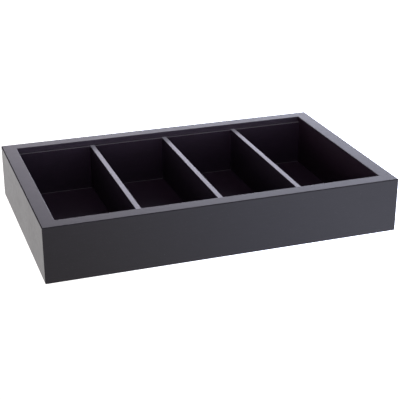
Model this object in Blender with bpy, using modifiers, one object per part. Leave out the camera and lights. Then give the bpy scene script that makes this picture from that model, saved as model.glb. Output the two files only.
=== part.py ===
"""Black lacquered wooden buffet box with four compartments.

A low open box of four mitred boards, with a thin base panel screwed into a rebate from below. Four
guide boards are glued to the inside of each long wall. The slots between them hold three dividers,
which lift straight out. The guides and the dividers stop short of the rim, so the guides' tops
form a narrow ledge.

Frame: the origin is at the middle of the box's underside, +X runs along the long side to the
right, +Y towards the back and +Z up. Units are metres.
"""

import math

import bmesh
import bpy
from mathutils import Matrix, Vector

# Overall size
LENGTH = 0.555
DEPTH = 0.350
HEIGHT = 0.087

# Walls
BOARD = 0.0225              # board thickness, which is also the width of the rim
CORNER_RADIUS = 0.0016      # rounding of the upright outer corners
OUTER_ARRIS = 0.0012        # rounding of the outer top and bottom edges
INNER_ARRIS = 0.0008        # rounding of the rim's inner edge
GAP = 0.0003                # space left between pieces that touch

# Base panel and its rebate
BASE_THICKNESS = 0.003
BASE_RECESS = 0.0005        # the panel's underside lies this far above the boards' lower edges
REBATE_WIDTH = 0.010
FLOOR_Z = BASE_RECESS + BASE_THICKNESS

# Guide boards and dividers
LEDGE_DROP = 0.0085         # from the rim down to the tops of the guides and the dividers
LEDGE_Z = HEIGHT - LEDGE_DROP
LEDGE_WIDTH = 0.0065        # from a long wall to its guides' faces
GUIDE_ARRIS = 0.0006
COMPARTMENTS = 4
DIVIDER = 0.008
DIVIDER_CLEARANCE = 0.0005  # on each side of a divider, and at its ends
DIVIDER_ARRIS = 0.0008

# Corner splines, which cross the mitres at right angles
SPLINE_THICKNESS = 0.004
SPLINE_WIDTH = 0.020
SPLINE_LOW_Z = 0.014
SPLINE_HIGH_Z = 0.072
SPLINE_ALONG_MITRE = 0.018  # from the outer corner to the spline, along the mitre

# Base screws, 3 x 12 mm countersunk
SCREW_LENGTH = 0.012
SHANK_RADIUS = 0.0015
HEAD_RADIUS = 0.003
HEAD_HEIGHT = 0.0016
HEAD_LAND = 0.0003          # thin upright edge of the head
TIP_LENGTH = 0.003
TIP_RADIUS = 0.0002
RECESS_WIDTH = 0.0008
RECESS_SPAN = 0.0034
RECESS_DEPTH = 0.0011
SCREW_SEGMENTS = 16
LONG_SIDE_SCREW_X = (-0.220, 0.0, 0.220)
SHORT_SIDE_SCREW_Y = (-0.080, 0.080)

INNER_LENGTH = LENGTH - 2 * BOARD
INNER_DEPTH = DEPTH - 2 * BOARD
PITCH = INNER_LENGTH / COMPARTMENTS
DIVIDER_X = [PITCH * (i + 1) - INNER_LENGTH / 2 for i in range(COMPARTMENTS - 1)]
DIVIDER_NAMES = ("divider_left", "divider_middle", "divider_right")

PARTS = "buffet_box"
CUTTERS = "cutters"


def clear_scene():
    """Remove whatever the scene holds."""
    for obj in list(bpy.data.objects):
        bpy.data.objects.remove(obj, do_unlink=True)


def collection(name):
    """The scene's collection of this name, made when it is missing."""
    found = bpy.data.collections.get(name)
    if found is None:
        found = bpy.data.collections.new(name)
        bpy.context.scene.collection.children.link(found)
    return found


def material(name, colour, roughness, metallic=0.0):
    """A Principled material."""
    mat = bpy.data.materials.new(name)
    mat.use_nodes = True
    shader = mat.node_tree.nodes["Principled BSDF"]
    shader.inputs["Base Color"].default_value = (*colour, 1.0)
    shader.inputs["Roughness"].default_value = roughness
    shader.inputs["Metallic"].default_value = metallic
    return mat


def add_object(name, mesh, location=(0, 0, 0), mat=None, turn=0.0):
    """A part, in the parts' collection, turned about Z by turn radians."""
    obj = bpy.data.objects.new(name, mesh)
    obj.location = location
    obj.rotation_euler = (0.0, 0.0, turn)
    collection(PARTS).objects.link(obj)
    if mat is not None:
        mesh.materials.clear()
        mesh.materials.append(mat)
    return obj


def add_cutter(name, mesh, location=(0, 0, 0), turn=0.0):
    """A cutter, in the cutters' collection, turned about Z by turn radians."""
    obj = bpy.data.objects.new(name, mesh)
    obj.location = location
    obj.rotation_euler = (0.0, 0.0, turn)
    obj.hide_render = True
    obj.display_type = "WIRE"
    collection(CUTTERS).objects.link(obj)
    return obj


def cut(obj, cutter):
    """Cut one object with another."""
    modifier = obj.modifiers.new(cutter.name, "BOOLEAN")
    modifier.operation = "DIFFERENCE"
    modifier.solver = "EXACT"
    modifier.object = cutter


def mesh_from(bm, name):
    """Turn a bmesh into a mesh, and free it."""
    bmesh.ops.recalc_face_normals(bm, faces=bm.faces)
    mesh = bpy.data.meshes.new(name)
    bm.to_mesh(mesh)
    bm.free()
    return mesh


def block(size, low_z=None):
    """A bmesh block of this size, centred, or standing on low_z when that is given."""
    bm = bmesh.new()
    bmesh.ops.create_cube(bm, size=1.0, matrix=Matrix.Diagonal((*size, 1.0)))
    if low_z is not None:
        bmesh.ops.translate(bm, verts=bm.verts, vec=(0, 0, low_z + size[2] / 2))
    return bm


def edges_where(bm, test):
    """The edges whose two ends both pass a test."""
    return [edge for edge in bm.edges if all(test(vert.co) for vert in edge.verts)]


def round_edges(bm, edges, radius, segments):
    """Round these edges."""
    bmesh.ops.bevel(
        bm, geom=edges, offset=radius, segments=segments, profile=0.5, affect="EDGES",
        clamp_overlap=True,
    )


def slice_off(bm, point, outward):
    """Remove what lies on the outward side of a plane, and close the cut."""
    geometry = bm.verts[:] + bm.edges[:] + bm.faces[:]
    result = bmesh.ops.bisect_plane(
        bm, geom=geometry, plane_co=point, plane_no=outward, clear_outer=True,
    )
    rim = [item for item in result["geom_cut"] if isinstance(item, bmesh.types.BMEdge)]
    bmesh.ops.edgenet_fill(bm, edges=rim)


def wall_board(name, along, across, turn, mat):
    """One mitred wall: the rounded outer block of the box, cut down to the board.

    The board is shaped in a frame where it is the front wall of a box that is along by across,
    and then turned into its place.
    """
    bm = block((along, across, HEIGHT), low_z=0.0)
    upright = [e for e in bm.edges if abs(e.verts[0].co.z - e.verts[1].co.z) > HEIGHT / 2]
    round_edges(bm, upright, CORNER_RADIUS, 3)
    top_and_bottom = edges_where(bm, lambda co: co.z > HEIGHT - GAP)
    top_and_bottom += edges_where(bm, lambda co: co.z < GAP)
    round_edges(bm, top_and_bottom, OUTER_ARRIS, 3)
    inner_y = -across / 2 + BOARD
    slice_off(bm, Vector((0, inner_y, 0)), Vector((0, 1, 0)))
    for side in (-1, 1):
        outward = Vector((side, 1, 0)).normalized()
        corner = Vector((side * along / 2, -across / 2, 0))
        slice_off(bm, corner - outward * GAP / 2, outward)
    inner_top = edges_where(
        bm, lambda co: abs(co.y - inner_y) < GAP and co.z > HEIGHT - GAP)
    round_edges(bm, inner_top, INNER_ARRIS, 2)
    return add_object(name, mesh_from(bm, name), mat=mat, turn=turn)


def make_walls(mat):
    """The four mitred boards, by name."""
    quarter = math.pi / 2
    return {
        "front": wall_board("front_board", LENGTH, DEPTH, 0.0, mat),
        "right": wall_board("right_board", DEPTH, LENGTH, quarter, mat),
        "back": wall_board("back_board", LENGTH, DEPTH, 2 * quarter, mat),
        "left": wall_board("left_board", DEPTH, LENGTH, 3 * quarter, mat),
    }


def cut_rebate(walls):
    """The rebate round the boards' inner lower edges, which the base panel sits in."""
    low = -BOARD / 2
    size = (
        INNER_LENGTH + 2 * REBATE_WIDTH,
        INNER_DEPTH + 2 * REBATE_WIDTH,
        FLOOR_Z + GAP - low,
    )
    cutter = add_cutter("rebate_cutter", mesh_from(block(size, low_z=low), "rebate_cutter"))
    for wall in walls.values():
        cut(wall, cutter)


def make_base(mat):
    """The thin panel that closes the box below."""
    size = (
        INNER_LENGTH + 2 * (REBATE_WIDTH - GAP),
        INNER_DEPTH + 2 * (REBATE_WIDTH - GAP),
        BASE_THICKNESS,
    )
    mesh = mesh_from(block(size, low_z=BASE_RECESS), "base_panel")
    return add_object("base_panel", mesh, mat=mat)


def make_splines(walls, mat):
    """A loose tongue across each mitred corner, in a stopped slot in both boards."""
    height = SPLINE_HIGH_Z - SPLINE_LOW_Z
    middle = (SPLINE_LOW_Z + SPLINE_HIGH_Z) / 2
    spline = mesh_from(block((SPLINE_WIDTH, SPLINE_THICKNESS, height)), "corner_spline")
    slot_size = (SPLINE_WIDTH + 2 * GAP, SPLINE_THICKNESS + 2 * GAP, height + 2 * GAP)
    slot = mesh_from(block(slot_size), "spline_slot")
    inset = SPLINE_ALONG_MITRE / math.sqrt(2)
    corners = (
        ("front", "left", -1, -1),
        ("front", "right", 1, -1),
        ("back", "right", 1, 1),
        ("back", "left", -1, 1),
    )
    for number, (long_wall, short_wall, side_x, side_y) in enumerate(corners, start=1):
        place = (side_x * (LENGTH / 2 - inset), side_y * (DEPTH / 2 - inset), middle)
        turn = -side_x * side_y * math.pi / 4
        add_object(f"corner_spline_{number}", spline, place, mat, turn)
        cutter = add_cutter(f"spline_slot_{number}", slot, place, turn)
        cut(walls[long_wall], cutter)
        cut(walls[short_wall], cutter)


def make_guides(mat):
    """Four guide boards on the inside of each long wall, with a slot at each divider."""
    outer_y = INNER_DEPTH / 2 - GAP
    inner_y = INNER_DEPTH / 2 - LEDGE_WIDTH
    low = FLOOR_Z + GAP
    half = (LEDGE_Z - low) / 2
    slot = DIVIDER / 2 + DIVIDER_CLEARANCE
    starts = [-INNER_LENGTH / 2 + GAP] + [x + slot for x in DIVIDER_X]
    ends = [x - slot for x in DIVIDER_X] + [INNER_LENGTH / 2 - GAP]
    for name, side in (("front_guide", -1), ("back_guide", 1)):
        for number, (start, end) in enumerate(zip(starts, ends), start=1):
            bm = block((end - start, outer_y - inner_y, 2 * half))
            facing = edges_where(bm, lambda co: co.z > 0 and co.y * side < 0)
            round_edges(bm, facing, GUIDE_ARRIS, 2)
            mesh = mesh_from(bm, f"{name}_{number}")
            place = ((start + end) / 2, side * (outer_y + inner_y) / 2, low + half)
            add_object(f"{name}_{number}", mesh, place, mat)


def make_dividers(mat):
    """The three lift-out dividers, which share one mesh."""
    low = FLOOR_Z + GAP
    across = INNER_DEPTH - 2 * DIVIDER_CLEARANCE
    bm = block((DIVIDER, across, LEDGE_Z - low))
    half = (LEDGE_Z - low) / 2
    round_edges(bm, edges_where(bm, lambda co: co.z > half - GAP), DIVIDER_ARRIS, 3)
    mesh = mesh_from(bm, "divider")
    for name, x in zip(DIVIDER_NAMES, DIVIDER_X):
        add_object(name, mesh, (x, 0, low + half), mat)


def turned(name, profile):
    """A turned solid: a closed profile, at +X and listed from top to bottom, swept about Z."""
    mesh = bpy.data.meshes.new(name)
    edges = [(i, i + 1) for i in range(len(profile) - 1)]
    mesh.from_pydata([(radius, 0.0, z) for radius, z in profile], edges, [])
    template = bpy.data.objects.new(name, mesh)
    bpy.context.scene.collection.objects.link(template)
    screw = template.modifiers.new("turn", "SCREW")
    screw.steps = SCREW_SEGMENTS
    screw.render_steps = SCREW_SEGMENTS
    screw.use_merge_vertices = True
    screw.merge_threshold = 0.00001
    return template


def baked(template, name):
    """The mesh that a template object evaluates to, after which the template is removed."""
    evaluated = template.evaluated_get(bpy.context.evaluated_depsgraph_get())
    mesh = bpy.data.meshes.new_from_object(evaluated)
    mesh.name = name
    bpy.data.objects.remove(template, do_unlink=True)
    return mesh


def screw_mesh():
    """A countersunk screw that points up, its head's face at the origin, with a cross recess."""
    profile = (
        (0.0, SCREW_LENGTH),
        (TIP_RADIUS, SCREW_LENGTH),
        (SHANK_RADIUS, SCREW_LENGTH - TIP_LENGTH),
        (SHANK_RADIUS, HEAD_HEIGHT + HEAD_LAND),
        (HEAD_RADIUS, HEAD_LAND),
        (HEAD_RADIUS, 0.0),
        (0.0, 0.0),
    )
    template = turned("screw_template", profile)
    recess = mesh_from(block((RECESS_SPAN, RECESS_WIDTH, 2 * RECESS_DEPTH)), "screw_recess")
    for arm in range(2):
        cut(template, add_cutter(f"screw_recess_{arm + 1}", recess, turn=arm * math.pi / 2))
    return baked(template, "base_screw")


def hole_mesh():
    """The space that a screw needs, with the gap that touching pieces keep."""
    profile = (
        (0.0, SCREW_LENGTH + GAP),
        (SHANK_RADIUS + GAP, SCREW_LENGTH + GAP),
        (SHANK_RADIUS + GAP, HEAD_HEIGHT + HEAD_LAND),
        (HEAD_RADIUS + GAP, HEAD_LAND),
        (HEAD_RADIUS + GAP, -2 * BASE_RECESS),
        (0.0, -2 * BASE_RECESS),
    )
    return baked(turned("hole_template", profile), "screw_hole")


def make_screws(walls, base, mat):
    """The ten screws through the base panel into the boards."""
    line_x = INNER_LENGTH / 2 + REBATE_WIDTH / 2
    line_y = INNER_DEPTH / 2 + REBATE_WIDTH / 2
    places = [("front", x, -line_y) for x in LONG_SIDE_SCREW_X]
    places += [("right", line_x, y) for y in SHORT_SIDE_SCREW_Y]
    places += [("back", x, line_y) for x in reversed(LONG_SIDE_SCREW_X)]
    places += [("left", -line_x, y) for y in reversed(SHORT_SIDE_SCREW_Y)]
    screw = screw_mesh()
    hole = hole_mesh()
    for number, (wall, x, y) in enumerate(places, start=1):
        place = (x, y, BASE_RECESS)
        add_object(f"base_screw_{number:02d}", screw, place, mat)
        cutter = add_cutter(f"screw_hole_{number:02d}", hole, place)
        cut(walls[wall], cutter)
        cut(base, cutter)


def main():
    """Build the box."""
    clear_scene()
    lacquer = material("black_lacquer", (0.012, 0.011, 0.013), 0.38)
    divider_lacquer = material("divider_lacquer", (0.016, 0.015, 0.017), 0.45)
    guide_lacquer = material("guide_lacquer", (0.011, 0.010, 0.012), 0.42)
    base_lacquer = material("base_lacquer", (0.014, 0.012, 0.014), 0.55)
    beech = material("bare_beech", (0.55, 0.38, 0.22), 0.65)
    steel = material("zinc_steel", (0.55, 0.56, 0.58), 0.35, metallic=1.0)
    walls = make_walls(lacquer)
    cut_rebate(walls)
    base = make_base(base_lacquer)
    make_splines(walls, beech)
    make_guides(guide_lacquer)
    make_dividers(divider_lacquer)
    make_screws(walls, base, steel)


main()
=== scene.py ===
"""Looks of the divided buffet box: black satin lacquer on smooth wood, on a white table.

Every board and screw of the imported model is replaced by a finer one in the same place, with
rounded arrises and closed joints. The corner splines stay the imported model's own. Sizes and places
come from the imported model's boxes. Units are metres.
"""
import math

import bmesh
import bpy
from mathutils import Matrix, Vector


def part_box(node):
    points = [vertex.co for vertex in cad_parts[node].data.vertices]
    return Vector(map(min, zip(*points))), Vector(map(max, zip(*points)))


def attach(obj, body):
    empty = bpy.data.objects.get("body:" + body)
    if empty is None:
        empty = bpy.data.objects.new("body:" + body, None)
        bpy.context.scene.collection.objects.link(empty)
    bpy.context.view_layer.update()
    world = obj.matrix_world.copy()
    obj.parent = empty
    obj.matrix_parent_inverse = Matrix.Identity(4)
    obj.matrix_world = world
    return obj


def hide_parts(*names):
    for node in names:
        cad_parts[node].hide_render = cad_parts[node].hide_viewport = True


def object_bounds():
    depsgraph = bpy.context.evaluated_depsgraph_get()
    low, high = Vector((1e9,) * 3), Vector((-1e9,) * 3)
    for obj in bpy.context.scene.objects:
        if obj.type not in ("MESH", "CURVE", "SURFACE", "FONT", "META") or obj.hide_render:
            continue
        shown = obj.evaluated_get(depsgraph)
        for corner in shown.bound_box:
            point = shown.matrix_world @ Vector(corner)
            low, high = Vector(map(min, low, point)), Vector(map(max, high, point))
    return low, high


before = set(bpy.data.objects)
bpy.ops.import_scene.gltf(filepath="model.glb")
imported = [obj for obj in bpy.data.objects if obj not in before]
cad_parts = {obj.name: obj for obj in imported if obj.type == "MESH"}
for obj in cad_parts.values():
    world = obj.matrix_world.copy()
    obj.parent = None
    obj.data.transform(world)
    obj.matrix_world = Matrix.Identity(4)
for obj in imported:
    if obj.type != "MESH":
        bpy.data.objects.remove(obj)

CAD_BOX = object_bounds()

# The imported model's nodes
BOX_BODY = "box"
DIVIDER_BODIES = {
    "divider_left": "left_divider",
    "divider_middle": "middle_divider",
    "divider_right": "right_divider",
}
GUIDES = [f"{side}_guide_{number}" for side in ("front", "back") for number in range(1, 5)]
SPLINES = [f"corner_spline_{number}" for number in range(1, 5)]
SCREWS = [f"base_screw_{number:02d}" for number in range(1, 11)]

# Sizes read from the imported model
LOW, HIGH = (Vector(corner) for corner in CAD_BOX)
LENGTH = HIGH.x - LOW.x
DEPTH = HIGH.y - LOW.y
HEIGHT = HIGH.z
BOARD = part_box("front_board")[1].y - LOW.y
INNER_X = LENGTH / 2 - BOARD
INNER_Y = DEPTH / 2 - BOARD
PANEL_LOW, PANEL_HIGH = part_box("base_panel")
FLOOR_Z = PANEL_HIGH.z
GUIDE_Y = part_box("back_guide_1")[0].y
CAD_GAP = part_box("divider_left")[0].z - FLOOR_Z
SCREW_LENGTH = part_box("base_screw_01")[1].z - PANEL_LOW.z

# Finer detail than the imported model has
HAIRLINE = 0.00002          # width of a closed mitre
FIT = 0.00005               # between pieces that lie against each other
CORNER_RADIUS = 0.0016
OUTER_ARRIS = 0.0018
INNER_ARRIS = 0.0008
GUIDE_ARRIS = 0.0006
DIVIDER_ARRIS = 0.0006
PANEL_ARRIS = 0.0002
COVE = 0.0007               # lacquer that fills the foot of a fixed wall
SPLINE_WIDTH = 0.020
SPLINE_THICKNESS = 0.004

# Steps round each rounded edge and each turned hole
CORNER_STEPS = 6
OUTER_STEPS = 5
INNER_STEPS = 4
GUIDE_STEPS = 4
DIVIDER_STEPS = 5
PANEL_STEPS = 2
COVE_STEPS = 6
TURNED_STEPS = 40

# How faces are told apart
SHARP_ANGLE = 40.0          # degrees between two faces, from which their edge is shaded sharp
INWARD = 0.1                # a wall's faces that look inward by more than this are its inside, with painted light

# Screws
HEAD_RADIUS = 0.003
HEAD_LAND = 0.0003
HEAD_DEPTH = 0.0016
SHANK_RADIUS = 0.0015
CORE_RADIUS = 0.0011
TIP_RADIUS = 0.0002
TIP_LENGTH = 0.0028
TIP_CURVE = 0.7             # under 1, the tip is fuller than a cone
THREAD_PITCH = 0.0012
THREAD_SLOPE = 5.0          # a ridge rises over one fifth of the pitch
THREAD_RINGS = 8            # rings of vertices for each pitch
THREAD_SEGMENTS = 24
RECESS_SPAN = 0.0034
RECESS_WIDTH = 0.0008
RECESS_DEPTH = 0.0012
RECESS_TAPER = 0.45

# Lacquer
SATIN = 0.34                # roughness of the film
SATIN_SWING = 0.015         # how much duller or glossier each noise makes it
SATIN_IOR = 1.31
WORN_LONG = 0.6             # roughness on the rounded edges of the long walls
WORN_END = 0.95             # the same on the end walls
FLATNESS = (0.98, 0.9995)   # the largest part of a normal, on a rounded edge and on a flat face
UPWARD = (0.55, 0.95)       # the upward part of a normal, where the painted highlight on tops starts and is whole
TOP_LEAST = 0.86            # the least share of the painted highlight on tops that shows, as it is patchy
GUIDE_SHEEN = 0.005         # how far back from its front edge a guide's top has its painted highlight
SHEEN_WHOLE = 0.3           # the share of that distance before it fades

# Colours, as shares of the light that they reflect
OUTSIDE_COAT = (0.0036, 0.0029, 0.0041)
# The inside coats are the outside's black lacquer made paler and purple, as painted light for the
# inner faces of the walls.
INSIDE_LONG_PAINTED_LIGHT = (0.0150, 0.0115, 0.0170)
INSIDE_END_PAINTED_LIGHT = (0.0065, 0.0033, 0.0058)
# The guide, divider and panel coats are the same black lacquer made paler or darker, as painted
# light and shade for where each lies in the box.
GUIDE_PAINTED_LIGHT = (0.0092, 0.0057, 0.0103)
# The guide and divider tops below are painted highlights, for the bright light that the tops
# reflect.
GUIDE_TOP_HIGHLIGHT = (0.12, 0.115, 0.12)
DIVIDER_PAINTED_LIGHT = (0.0048, 0.0030, 0.0053)
DIVIDER_TOP_HIGHLIGHT = (0.25, 0.25, 0.26)
PANEL_PAINTED_LIGHT = (0.0170, 0.0092, 0.0168)
DUST = (0.16, 0.16, 0.17)
BEECH_LIGHT = (0.62, 0.44, 0.27)
BEECH_DARK = (0.42, 0.27, 0.15)
ZINC_DULL = (0.52, 0.54, 0.58)
ZINC_BRIGHT = (0.74, 0.74, 0.72)
TABLE_WHITE = (0.2, 0.2, 0.2)

# Noises: scale, detail and roughness
GRAIN = (130.0, 4.0, 0.6)
PEEL = (520.0, 2.0, 0.5)
MOTTLE = (120.0, 3.0, 0.6)
BROAD = (7.0, 2.0, 0.5)
SPECKS = (900.0, 1.0, 0.5)
BEECH_GRAIN = (90.0, 5.0, 0.62)
BEECH_FLECKS = (40.0, 1.0, 0.5)
ZINC_PATCHES = (900.0, 3.0, 0.6)
ZINC_SCRATCHES = (700.0, 2.0, 0.5)

# How the coordinates of some noises are stretched
EVEN = (1.0, 1.0, 1.0)
GRAIN_STRETCH = {"X": (0.35, 9.0, 9.0), "Y": (9.0, 0.35, 9.0)}
BEECH_STRETCH = (8.0, 8.0, 0.4)
FLECK_STRETCH = (30.0, 30.0, 5.0)
SCRATCH_STRETCH = (20.0, 1.0, 1.0)

# Where a noise's values start to count, and where they count in full
MOST_OF_NOISE = (0.3, 0.7)
GRAIN_RANGE = (0.35, 0.75)
SPECK_RANGE = (0.74, 0.80)
FLECK_RANGE = (0.62, 0.7)

# How strongly each detail shows
GRAIN_PALER = 1.9
GRAIN_SHOW = 0.6
SPECK_SHOW = 0.2
SPECK_DULLS = 0.15
FLECK_DARKER = 0.6
FLECK_SHOW = 0.6
BEECH_ROUGHNESS = (0.55, 0.7)
ZINC_ROUGHNESS = (0.22, 0.42)

# Bumps: height and strength
GRAIN_BUMP = (0.000012, 0.5)
PEEL_BUMP = (0.00002, 0.6)
BEECH_BUMP = (0.00004, 0.7)
SCRATCH_BUMP = (0.00001, 0.5)

# The table, and its glow, which is painted light and grows to the right and to the back. A pair
# that is named for an axis says where, along that axis, one value becomes another.
TABLE_REACH = 6.0
TABLE_THICKNESS = 0.02
TABLE_ROUGHNESS = 0.8
GLOW_MIDDLE = 1.98          # under the middle of the box
GLOW_ACROSS = 3.6           # more for each metre to the right
GLOW_BACK = 0.5             # more for each metre to the back
GLOW_MOST = 2.75
GLOW_LEAST_FRONT = 0.85     # the least in front of the box
GLOW_LEAST_BACK = 1.1       # the least further back
GLOW_LEAST_Y = (-0.32, -0.1)
GLOW_LEFT_TINT = (1.04, 1.02, 1.0)
GLOW_RIGHT_TINT = (0.98, 1.02, 1.2)
GLOW_TINT_X = (-0.32, 0.12)

# The brightness of the studio round the box. These pairs are of the X, Y or Z part of the
# direction in which the studio is seen.
SKY_LOW = 4.2               # at the back, low down
SKY_HIGH = 0.62             # at the back, above that
SKY_LOW_Z = (0.23, 0.44)
SKY_DARK = 0.1              # the share left at the back, between the right and the far left
SKY_RIGHT_X = (-0.15, 0.27)
SKY_FAR_LEFT_X = (-0.42, -0.6)
SKY_HORIZON = 1.08          # the least at the back, along the horizon
SKY_HORIZON_Z = (0.22, 0.28)
SKY_FRONT_LOW = 4.2         # in front, low down
SKY_FRONT_HIGH = 1.1        # in front, above that
SKY_FRONT_Z = (0.05, 0.45)
SKY_FRONT_Y = (0.3, -0.3)   # from the back to the front
SKY_OVERHEAD = 0.35         # the share left overhead
SKY_OVERHEAD_Z = (0.55, 0.85)
SKY_LEFT_TINT = (1.04, 0.98, 1.12)
SKY_RIGHT_TINT = (1.08, 1.09, 1.31)
SKY_TINT_X = (0.1, 0.45)

# Camera
CAMERA_AZIMUTH = -19.2
CAMERA_ELEVATION = 23.15
CAMERA_DISTANCE = 1.675
CAMERA_LENS = 92.1
CAMERA_SENSOR = 36.0
CAMERA_CLIP = (0.05, 50.0)
CAMERA_AIM = Vector((0.014, 0.0, 0.0182))


# ---------------------------------------------------------------------------- mesh tools

def block_between(low, high):
    """A bmesh block between two corners."""
    low, high = Vector(low), Vector(high)
    bm = bmesh.new()
    matrix = Matrix.Translation((low + high) / 2) @ Matrix.Diagonal((*(high - low), 1.0))
    bmesh.ops.create_cube(bm, size=1.0, matrix=matrix)
    return bm


def edges_where(bm, test):
    """The edges whose two ends both pass a test."""
    return [edge for edge in bm.edges if all(test(vert.co) for vert in edge.verts)]


def upright_edges(bm):
    """The edges that stand upright."""
    return [e for e in bm.edges if abs(e.verts[0].co.z - e.verts[1].co.z) > CORNER_RADIUS]


def round_edges(bm, edges, radius, steps):
    """Round these edges."""
    bmesh.ops.bevel(
        bm, geom=edges, offset=radius, segments=steps, profile=0.5, affect="EDGES",
        clamp_overlap=True,
    )


def slice_off(bm, point, outward):
    """Remove what lies on the outward side of a plane, and close the cut."""
    geometry = bm.verts[:] + bm.edges[:] + bm.faces[:]
    result = bmesh.ops.bisect_plane(
        bm, geom=geometry, plane_co=point, plane_no=outward, clear_outer=True,
    )
    rim = [item for item in result["geom_cut"] if isinstance(item, bmesh.types.BMEdge)]
    bmesh.ops.edgenet_fill(bm, edges=rim)


def turned(profile, place):
    """A closed turned bmesh about the upright line through place, from (radius, z) pairs
    listed from the bottom up."""
    bm = bmesh.new()
    rings = []
    for radius, z in profile:
        angles = [2 * math.pi * step / TURNED_STEPS for step in range(TURNED_STEPS)]
        points = [Vector((radius * math.cos(a), radius * math.sin(a), z)) for a in angles]
        rings.append([bm.verts.new(place + point) for point in points])
    close_rings(bm, rings)
    return bm


def close_rings(bm, rings):
    """Join rings of vertices into one closed body."""
    count = len(rings[0])
    for lower, upper in zip(rings, rings[1:]):
        for step in range(count):
            after = (step + 1) % count
            bm.faces.new((lower[step], lower[after], upper[after], upper[step]))
    bm.faces.new(list(reversed(rings[0])))
    bm.faces.new(rings[-1])


def to_mesh(bm, name):
    """Turn a bmesh into a mesh, and free it."""
    bmesh.ops.recalc_face_normals(bm, faces=bm.faces)
    mesh = bpy.data.meshes.new(name)
    bm.to_mesh(mesh)
    bm.free()
    return mesh


def add_piece(name, mesh):
    """An object in the scene that shows this mesh."""
    obj = bpy.data.objects.new(name, mesh)
    bpy.context.scene.collection.objects.link(obj)
    return obj


def carve(obj, cutters, added=()):
    """Cut an object with each bmesh, join the added ones to it, and keep the result as its
    plain mesh."""
    steps = [("DIFFERENCE", bm) for bm in cutters] + [("UNION", bm) for bm in added]
    tools = []
    for number, (operation, bm) in enumerate(steps):
        tool = add_piece(f"{obj.name}_tool_{number}", to_mesh(bm, "tool"))
        modifier = obj.modifiers.new(f"step_{number}", "BOOLEAN")
        modifier.operation = operation
        modifier.solver = "EXACT"
        modifier.object = tool
        tools.append(tool)
    evaluated = obj.evaluated_get(bpy.context.evaluated_depsgraph_get())
    obj.data = bpy.data.meshes.new_from_object(evaluated)
    obj.modifiers.clear()
    for tool in tools:
        bpy.data.objects.remove(tool, do_unlink=True)


def soften(obj):
    """Shade smoothly over the rounded edges, and keep the broad faces flat."""
    obj.data.shade_smooth()
    obj.data.set_sharp_from_angle(angle=math.radians(SHARP_ANGLE))
    weighted = obj.modifiers.new("weighted_normals", "WEIGHTED_NORMAL")
    weighted.keep_sharp = True


def settle(obj, node, body, material):
    """Give a finished piece its material and its body, and hide the CAD node it stands for."""
    obj.data.materials.clear()
    obj.data.materials.append(material)
    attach(obj, body)
    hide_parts(node)


# -------------------------------------------------------------------------------- pieces

def holds(node, place):
    """Whether a place lies within a CAD node's box, seen from above."""
    low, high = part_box(node)
    return low.x < place.x < high.x and low.y < place.y < high.y


def spline_slot(node):
    """The slot that a corner spline sits in, turned across its mitre."""
    low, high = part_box(node)
    centre = (low + high) / 2
    half = Vector((SPLINE_WIDTH, SPLINE_THICKNESS, high.z - low.z)) / 2 + Vector((FIT, FIT, FIT))
    bm = block_between(-half, half)
    turn = -math.copysign(math.pi / 4, centre.x * centre.y)
    bm.transform(Matrix.Translation(centre) @ Matrix.Rotation(turn, 4, "Z"))
    return bm


def screw_place(node):
    """The middle of a screw's head."""
    low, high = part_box(node)
    return Vector(((low.x + high.x) / 2, (low.y + high.y) / 2, low.z))


def screw_space(node):
    """The countersunk hole round a screw."""
    return turned((
        (HEAD_RADIUS + FIT + HEAD_LAND, -HEAD_LAND),
        (HEAD_RADIUS + FIT, HEAD_LAND),
        (SHANK_RADIUS + FIT, HEAD_LAND + HEAD_DEPTH),
        (SHANK_RADIUS + FIT, SCREW_LENGTH + CAD_GAP),
    ), screw_place(node))


def cove_profile(wall_y, toward):
    """The hollow fillet at the foot of a wall face, as (y, z) points up from the floor. It juts
    out from the face in Y by the sign toward."""
    points = []
    for step in range(COVE_STEPS + 1):
        angle = math.pi / 2 * step / COVE_STEPS
        out = COVE * (1 - math.sin(angle))
        points.append((wall_y + toward * out, FLOOR_Z + FIT + COVE * (1 - math.cos(angle))))
    return points


def extruded(profile, left, right):
    """A closed bmesh of this (y, z) profile, drawn out along X."""
    bm = bmesh.new()
    close_rings(bm, [[bm.verts.new((x, y, z)) for y, z in profile] for x in (left, right)])
    return bm


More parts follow.
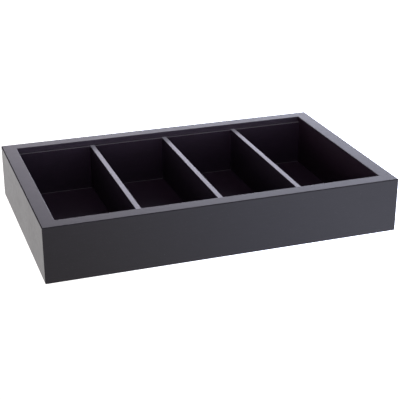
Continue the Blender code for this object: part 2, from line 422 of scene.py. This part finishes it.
def make_wall(name, node, along, across, turn, foot, material, inside):
    """One wall board with closed mitres, shaped as the front wall and turned into its place.
    Its inner face has a paler copy of the lacquer, as painted light on the inside, and a cove of
    this half length at its foot."""
    bm = block_between((-along / 2, -across / 2, 0), (along / 2, across / 2, HEIGHT))
    round_edges(bm, upright_edges(bm), CORNER_RADIUS, CORNER_STEPS)
    level = edges_where(bm, lambda co: co.z > HEIGHT - FIT)
    level += edges_where(bm, lambda co: co.z < FIT)
    round_edges(bm, level, OUTER_ARRIS, OUTER_STEPS)
    inner_y = -across / 2 + BOARD
    slice_off(bm, Vector((0, inner_y, 0)), Vector((0, 1, 0)))
    for side in (-1, 1):
        outward = Vector((side, 1, 0)).normalized()
        corner = Vector((side * along / 2, -across / 2, 0))
        slice_off(bm, corner - outward * HAIRLINE / 2, outward)
    inner_top = edges_where(bm, lambda co: co.y > inner_y - FIT and co.z > HEIGHT - FIT)
    round_edges(bm, inner_top, INNER_ARRIS, INNER_STEPS)
    bm.transform(Matrix.Rotation(turn, 4, "Z"))
    obj = add_piece(name, to_mesh(bm, name))
    added = []
    if foot > 0:
        root = [(inner_y - COVE, FLOOR_Z + FIT + COVE), (inner_y - COVE, FLOOR_Z + FIT)]
        added = [extruded(cove_profile(inner_y, 1) + root, -foot, foot)]
        added[0].transform(Matrix.Rotation(turn, 4, "Z"))
    edge = Vector((PANEL_HIGH.x + CAD_GAP, PANEL_HIGH.y + CAD_GAP, FLOOR_Z + FIT))
    cutters = [block_between((-edge.x, -edge.y, -HEIGHT), edge)]
    cutters += [spline_slot(n) for n in SPLINES if holds(node, sum(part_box(n), Vector()) / 2)]
    cutters += [screw_space(n) for n in SCREWS if holds(node, screw_place(n))]
    carve(obj, cutters, added)
    soften(obj)
    settle(obj, node, BOX_BODY, material)
    # The inward faces take the inside copy of the lacquer, whose paler colour is painted light.
    obj.data.materials.append(inside)
    inward = Matrix.Rotation(turn, 3, "Z") @ Vector((0, 1, 0))
    for face in obj.data.polygons:
        face.material_index = int(face.normal.dot(inward) > INWARD)


def make_guide(node, material):
    """A guide board, glued against its long wall and standing on the base panel."""
    low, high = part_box(node)
    face_y = low.y if low.y > 0 else high.y
    wall_y = math.copysign(INNER_Y, face_y)
    left = -INNER_X if low.x < -INNER_X + 2 * CAD_GAP else low.x
    right = INNER_X if high.x > INNER_X - 2 * CAD_GAP else high.x
    profile = [(wall_y, FLOOR_Z + FIT)] + cove_profile(face_y, -math.copysign(1, face_y))
    bm = extruded(profile + [(face_y, high.z), (wall_y, high.z)], left, right)
    facing = [e for e in bm.edges if all(abs(v.co.y - face_y) < FIT for v in e.verts)]
    eased = [e for e in facing if all(v.co.z > high.z - FIT for v in e.verts)]
    eased += [e for e in upright_edges(bm) if e in facing and abs(e.verts[0].co.x) < INNER_X - FIT]
    round_edges(bm, eased, GUIDE_ARRIS, GUIDE_STEPS)
    obj = add_piece(f"{node}_board", to_mesh(bm, node))
    soften(obj)
    settle(obj, node, BOX_BODY, material)


def make_divider(node, body, material):
    """A lift-out divider, with eased top and end edges."""
    low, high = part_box(node)
    bm = block_between((low.x, low.y, FLOOR_Z + FIT), high)
    top = edges_where(bm, lambda co: co.z > high.z - FIT)
    round_edges(bm, top + upright_edges(bm), DIVIDER_ARRIS, DIVIDER_STEPS)
    obj = add_piece(f"{node}_board", to_mesh(bm, node))
    soften(obj)
    settle(obj, node, body, material)


def make_panel(material):
    """The base panel, with countersunk screw holes from below."""
    edge_x = PANEL_HIGH.x + CAD_GAP - FIT
    edge_y = PANEL_HIGH.y + CAD_GAP - FIT
    bm = block_between((-edge_x, -edge_y, PANEL_LOW.z), (edge_x, edge_y, FLOOR_Z))
    under = edges_where(bm, lambda co: co.z < PANEL_LOW.z + FIT)
    round_edges(bm, under, PANEL_ARRIS, PANEL_STEPS)
    obj = add_piece("floor_panel", to_mesh(bm, "floor_panel"))
    carve(obj, [screw_space(node) for node in SCREWS])
    soften(obj)
    settle(obj, "base_panel", BOX_BODY, material)


def thread_radius(angle, z):
    """The radius of the threaded shank at this angle and height."""
    tip = min(1.0, (SCREW_LENGTH - z) / TIP_LENGTH)
    phase = (z / THREAD_PITCH - angle / (2 * math.pi)) % 1.0
    ridge = max(0.0, 1.0 - abs(phase - 0.5) * THREAD_SLOPE)
    start = HEAD_LAND + HEAD_DEPTH
    rise = min(1.0, max(0.0, (z - start) / THREAD_PITCH))
    radius = CORE_RADIUS + (SHANK_RADIUS - CORE_RADIUS) * ridge * rise
    return TIP_RADIUS + (radius - TIP_RADIUS) * tip ** TIP_CURVE


def screw_mesh():
    """A countersunk wood screw that points up, with a thread and a tapered cross recess."""
    bm = bmesh.new()
    start = HEAD_LAND + HEAD_DEPTH
    levels = [(HEAD_RADIUS, 0.0), (HEAD_RADIUS, HEAD_LAND), (CORE_RADIUS, start)]
    steps = int((SCREW_LENGTH - start) / (THREAD_PITCH / THREAD_RINGS))
    angles = [2 * math.pi * step / THREAD_SEGMENTS for step in range(THREAD_SEGMENTS)]
    rings = []
    for radius, z in levels:
        rings.append([bm.verts.new((radius * math.cos(a), radius * math.sin(a), z)) for a in angles])
    for step in range(1, steps + 1):
        z = start + (SCREW_LENGTH - start) * step / steps
        radii = [thread_radius(a, z) for a in angles]
        ring = [(r * math.cos(a), r * math.sin(a), z) for r, a in zip(radii, angles)]
        rings.append([bm.verts.new(point) for point in ring])
    close_rings(bm, rings)
    obj = add_piece("screw_template", to_mesh(bm, "wood_screw"))
    arms = []
    for turn in (0, math.pi / 2):
        half = Vector((RECESS_SPAN / 2, RECESS_WIDTH / 2, RECESS_DEPTH))
        arm = block_between(-half, half)
        for vert in arm.verts:
            if vert.co.z > 0:
                vert.co.x *= RECESS_TAPER
        arm.transform(Matrix.Rotation(turn, 4, "Z"))
        arms.append(arm)
    carve(obj, arms)
    mesh = obj.data
    bpy.data.objects.remove(obj, do_unlink=True)
    return mesh


def make_screws(material):
    """The screws under the base panel, which share one mesh."""
    mesh = screw_mesh()
    for node in SCREWS:
        obj = add_piece(node.replace("base", "panel"), mesh)
        obj.location = screw_place(node)
        soften(obj)
        settle(obj, node, BOX_BODY, material)


# ----------------------------------------------------------------------------- materials

def opaque(colour):
    """A colour with nothing showing through it."""
    return (*colour, 1.0)


class Graph:
    """A node tree, with short ways to add and link nodes."""

    def __init__(self, tree):
        self.tree = tree

    def add(self, kind, inputs=(), **settings):
        """A node of this kind. inputs maps a socket's name or number to a value or a socket."""
        made = self.tree.nodes.new(kind)
        for name, value in settings.items():
            setattr(made, name, value)
        for key, value in dict(inputs).items():
            if isinstance(value, bpy.types.NodeSocket):
                self.tree.links.new(value, made.inputs[key])
            else:
                made.inputs[key].default_value = value
        return made

    def math(self, operation, *values):
        """The result of a math node."""
        return self.add("ShaderNodeMath", dict(enumerate(values)), operation=operation).outputs[0]

    def size(self, value):
        """A value without its sign."""
        return self.math("ABSOLUTE", value)

    def parts(self, vector):
        """The X, Y and Z outputs of a vector."""
        return self.add("ShaderNodeSeparateXYZ", {0: vector}).outputs

    def noise(self, vector, scale, detail, roughness):
        """A noise value between 0 and 1."""
        inputs = {"Vector": vector, "Scale": scale, "Detail": detail, "Roughness": roughness}
        return self.add("ShaderNodeTexNoise", inputs).outputs["Fac"]

    def remap(self, value, from_low, from_high, to_low, to_high):
        """A value moved smoothly from one range to another, and held at its ends."""
        inputs = {"Value": value, 1: from_low, 2: from_high, 3: to_low, 4: to_high}
        made = self.add("ShaderNodeMapRange", inputs, interpolation_type="SMOOTHSTEP")
        return made.outputs["Result"]

    def spread(self, noise, low, high):
        """Most of a noise's values, moved to the range from low to high."""
        return self.remap(noise, *MOST_OF_NOISE, low, high)

    def blend(self, factor, first, second):
        """A colour between two colours."""
        made = self.add("ShaderNodeMix", {0: factor, 6: first, 7: second}, data_type="RGBA")
        return made.outputs[2]

    def stretched(self, scale):
        """The object's coordinates, stretched by a scale along each axis."""
        coordinates = self.add("ShaderNodeTexCoord").outputs["Object"]
        return self.add("ShaderNodeMapping", {"Vector": coordinates, "Scale": scale}).outputs[0]

    def bump(self, height, distance, strength, normal=None):
        """A bumped normal, on top of another one when that is given."""
        inputs = {"Height": height, "Distance": distance, "Strength": strength}
        if normal is not None:
            inputs["Normal"] = normal
        return self.add("ShaderNodeBump", inputs).outputs[0]


def new_material(name):
    """A material, with its graph and its Principled shader."""
    material = bpy.data.materials.new(name)
    material.use_nodes = True
    return material, Graph(material.node_tree), material.node_tree.nodes["Principled BSDF"]


def lacquer(name, colour, grain_axis, top_highlight=None, highlight_reach=None, worn_edge=None):
    """Satin lacquer on smooth wood.

    The wood's grain shows through it faintly along grain_axis, the film has a fine orange peel,
    and a few specks of dust lie in it. top_highlight is a painted highlight on faces that look up,
    in place of the bright light that they reflect; on the guides it reaches only highlight_reach
    back from their front edge, as a painted highlight along that edge. worn_edge is the roughness
    of the film on the rounded edges, where it has been rubbed dull.
    """
    material, graph, shader = new_material(name)
    plain = graph.stretched(EVEN)
    grain = graph.noise(graph.stretched(GRAIN_STRETCH[grain_axis]), *GRAIN)
    peel = graph.noise(plain, *PEEL)
    mottle = graph.noise(plain, *MOTTLE)
    broad = graph.noise(plain, *BROAD)
    speck = graph.remap(graph.noise(plain, *SPECKS), *SPECK_RANGE, 0.0, 1.0)
    pale = tuple(channel * GRAIN_PALER for channel in colour)
    streak = graph.remap(grain, *GRAIN_RANGE, 0.0, GRAIN_SHOW)
    tone = graph.blend(streak, opaque(colour), opaque(pale))
    tone = graph.blend(graph.math("MULTIPLY", speck, SPECK_SHOW), tone, opaque(DUST))
    surface = graph.parts(graph.add("ShaderNodeNewGeometry").outputs["Normal"])
    # Faces that look up get a painted highlight; on the guides it is a painted highlight along the
    # front edge of their tops.
    if top_highlight is not None:
        facing = graph.remap(surface["Z"], *UPWARD, 0.0, 1.0)
        if highlight_reach is not None:
            behind = graph.math("SUBTRACT", graph.size(graph.parts(plain)["Y"]), GUIDE_Y)
            near = graph.remap(behind, SHEEN_WHOLE * highlight_reach, highlight_reach, 1.0, 0.0)
            facing = graph.math("MULTIPLY", facing, near)
        patchy = graph.spread(mottle, TOP_LEAST, 1.0)
        tone = graph.blend(graph.math("MULTIPLY", facing, patchy), tone, opaque(top_highlight))
    wide = graph.spread(broad, -SATIN_SWING, SATIN_SWING)
    fine = graph.spread(mottle, -SATIN_SWING, SATIN_SWING)
    gloss = graph.math("ADD", graph.math("ADD", wide, fine), SATIN)
    gloss = graph.math("ADD", gloss, graph.math("MULTIPLY", speck, SPECK_DULLS))
    if worn_edge is not None:
        sizes = [graph.size(surface[axis]) for axis in "XYZ"]
        largest = graph.math("MAXIMUM", graph.math("MAXIMUM", sizes[0], sizes[1]), sizes[2])
        rounded = graph.remap(largest, *FLATNESS, 1.0, 0.0)
        duller = graph.math("MULTIPLY", rounded, graph.math("SUBTRACT", worn_edge, gloss))
        gloss = graph.math("ADD", gloss, duller)
    normal = graph.bump(grain, *GRAIN_BUMP)
    normal = graph.bump(peel, *PEEL_BUMP, normal)
    graph.tree.links.new(tone, shader.inputs["Base Color"])
    graph.tree.links.new(gloss, shader.inputs["Roughness"])
    graph.tree.links.new(normal, shader.inputs["Normal"])
    shader.inputs["IOR"].default_value = SATIN_IOR
    return material


def bare_wood(name, light, dark):
    """Planed beech, with fine upright grain and short darker flecks."""
    material, graph, shader = new_material(name)
    grain = graph.noise(graph.stretched(BEECH_STRETCH), *BEECH_GRAIN)
    fleck = graph.noise(graph.stretched(FLECK_STRETCH), *BEECH_FLECKS)
    fleck = graph.remap(fleck, *FLECK_RANGE, 0.0, FLECK_SHOW)
    darkest = tuple(channel * FLECK_DARKER for channel in dark)
    tone = graph.blend(grain, opaque(light), opaque(dark))
    tone = graph.blend(fleck, tone, opaque(darkest))
    graph.tree.links.new(tone, shader.inputs["Base Color"])
    graph.tree.links.new(graph.spread(grain, *BEECH_ROUGHNESS), shader.inputs["Roughness"])
    graph.tree.links.new(graph.bump(grain, *BEECH_BUMP), shader.inputs["Normal"])
    return material


def zinc(name):
    """Bright zinc plate, faintly spangled, with duller patches."""
    material, graph, shader = new_material(name)
    patch = graph.noise(graph.stretched(EVEN), *ZINC_PATCHES)
    scratch = graph.noise(graph.stretched(SCRATCH_STRETCH), *ZINC_SCRATCHES)
    tone = graph.blend(patch, opaque(ZINC_DULL), opaque(ZINC_BRIGHT))
    graph.tree.links.new(tone, shader.inputs["Base Color"])
    graph.tree.links.new(graph.spread(patch, *ZINC_ROUGHNESS), shader.inputs["Roughness"])
    graph.tree.links.new(graph.bump(scratch, *SCRATCH_BUMP), shader.inputs["Normal"])
    shader.inputs["Metallic"].default_value = 1.0
    return material


# ------------------------------------------------------------------ stage, light, camera

def make_table():
    """A plain white table, whose glow is painted light, brighter to the right and to the back, so
    that it stays white round the box.
    """
    low = (-TABLE_REACH, -TABLE_REACH, -TABLE_THICKNESS)
    mesh = to_mesh(block_between(low, (TABLE_REACH, TABLE_REACH, 0)), "table")
    table = add_piece("table", mesh)
    material, graph, shader = new_material("white_table")
    place = graph.parts(graph.add("ShaderNodeTexCoord").outputs["Object"])
    across = graph.math("MULTIPLY", place["X"], GLOW_ACROSS)
    back = graph.math("MULTIPLY", place["Y"], GLOW_BACK)
    slope = graph.math("ADD", graph.math("ADD", across, back), GLOW_MIDDLE)
    least = graph.remap(place["Y"], *GLOW_LEAST_Y, GLOW_LEAST_FRONT, GLOW_LEAST_BACK)
    glow = graph.math("MINIMUM", graph.math("MAXIMUM", slope, least), GLOW_MOST)
    graph.tree.links.new(glow, shader.inputs["Emission Strength"])
    side = graph.remap(place["X"], *GLOW_TINT_X, 0.0, 1.0)
    tint = graph.blend(side, opaque(GLOW_LEFT_TINT), opaque(GLOW_RIGHT_TINT))
    graph.tree.links.new(tint, shader.inputs["Emission Color"])
    shader.inputs["Base Color"].default_value = opaque(TABLE_WHITE)
    shader.inputs["Roughness"].default_value = TABLE_ROUGHNESS
    mesh.materials.append(material)


def make_world():
    """A white studio, bright low down in front and at the back right, and dim overhead."""
    world = bpy.data.worlds.new("studio")
    bpy.context.scene.world = world
    world.use_nodes = True
    graph = Graph(world.node_tree)
    direction = graph.parts(graph.add("ShaderNodeTexCoord").outputs["Generated"])
    side = graph.remap(direction["X"], *SKY_TINT_X, 0.0, 1.0)
    tint = graph.blend(side, opaque(SKY_LEFT_TINT), opaque(SKY_RIGHT_TINT))
    right = graph.remap(direction["X"], *SKY_RIGHT_X, SKY_DARK, 1.0)
    far_left = graph.remap(direction["X"], *SKY_FAR_LEFT_X, SKY_DARK, 1.0)
    low = graph.remap(direction["Z"], *SKY_LOW_Z, SKY_LOW, SKY_HIGH)
    back = graph.math("MULTIPLY", graph.math("MAXIMUM", right, far_left), low)
    horizon = graph.remap(direction["Z"], *SKY_HORIZON_Z, SKY_HORIZON, 0.0)
    back = graph.math("MAXIMUM", back, horizon)
    front = graph.remap(direction["Z"], *SKY_FRONT_Z, SKY_FRONT_LOW, SKY_FRONT_HIGH)
    facing = graph.remap(direction["Y"], *SKY_FRONT_Y, 0.0, 1.0)
    behind = graph.math("SUBTRACT", 1.0, facing)
    kept = graph.math("MULTIPLY", back, behind)
    around = graph.math("ADD", kept, graph.math("MULTIPLY", facing, front))
    dimming = graph.remap(direction["Z"], *SKY_OVERHEAD_Z, 1.0, SKY_OVERHEAD)
    background = world.node_tree.nodes["Background"]
    graph.tree.links.new(tint, background.inputs["Color"])
    graph.tree.links.new(graph.math("MULTIPLY", around, dimming), background.inputs["Strength"])


def make_camera():
    """The camera, in front of the box, to its left and above it."""
    azimuth, elevation = math.radians(CAMERA_AZIMUTH), math.radians(CAMERA_ELEVATION)
    back = Vector((
        math.sin(azimuth) * math.cos(elevation),
        -math.cos(azimuth) * math.cos(elevation),
        math.sin(elevation),
    ))
    data = bpy.data.cameras.new("camera")
    data.lens = CAMERA_LENS
    data.sensor_width = CAMERA_SENSOR
    data.clip_start, data.clip_end = CAMERA_CLIP
    camera = add_piece("camera", data)
    camera.location = CAMERA_AIM + back * CAMERA_DISTANCE
    camera.rotation_euler = back.to_track_quat("Z", "Y").to_euler()
    bpy.context.scene.camera = camera
    bpy.context.scene.view_settings.view_transform = "Standard"


def main():
    """Build every piece, then the stage, the light and the camera."""
    outside_x = lacquer("black_lacquer_x", OUTSIDE_COAT, "X", worn_edge=WORN_LONG)
    outside_y = lacquer("black_lacquer_y", OUTSIDE_COAT, "Y", worn_edge=WORN_END)
    # The inside, guide, divider and panel copies of the lacquer differ only in colour, which is
    # painted light and shade.
    inside_painted_light_x = lacquer("inside_lacquer_painted_light_x", INSIDE_LONG_PAINTED_LIGHT, "X")
    inside_painted_light_y = lacquer("inside_lacquer_painted_light_y", INSIDE_END_PAINTED_LIGHT, "Y")
    guide_painted_light = lacquer("guide_lacquer", GUIDE_PAINTED_LIGHT, "X", GUIDE_TOP_HIGHLIGHT, GUIDE_SHEEN)
    divider_painted_light = lacquer("divider_lacquer", DIVIDER_PAINTED_LIGHT, "Y", DIVIDER_TOP_HIGHLIGHT)
    panel_painted_light = lacquer("panel_lacquer_painted_light", PANEL_PAINTED_LIGHT, "X")
    quarter = math.pi / 2
    make_wall("wall_front", "front_board", LENGTH, DEPTH, 0.0, 0.0, outside_x, inside_painted_light_x)
    make_wall("wall_right", "right_board", DEPTH, LENGTH, quarter, GUIDE_Y, outside_y, inside_painted_light_y)
    make_wall("wall_back", "back_board", LENGTH, DEPTH, 2 * quarter, 0.0, outside_x, inside_painted_light_x)
    make_wall("wall_left", "left_board", DEPTH, LENGTH, 3 * quarter, GUIDE_Y, outside_y, inside_painted_light_y)
    for node in GUIDES:
        make_guide(node, guide_painted_light)
    for node, body in DIVIDER_BODIES.items():
        make_divider(node, body, divider_painted_light)
    make_panel(panel_painted_light)
    make_screws(zinc("zinc_plate"))
    beech = bare_wood("bare_beech", BEECH_LIGHT, BEECH_DARK)
    for node in SPLINES:
        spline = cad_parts[node]
        spline.data.materials.clear()
        spline.data.materials.append(beech)
    make_table()
    make_world()
    make_camera()


main()
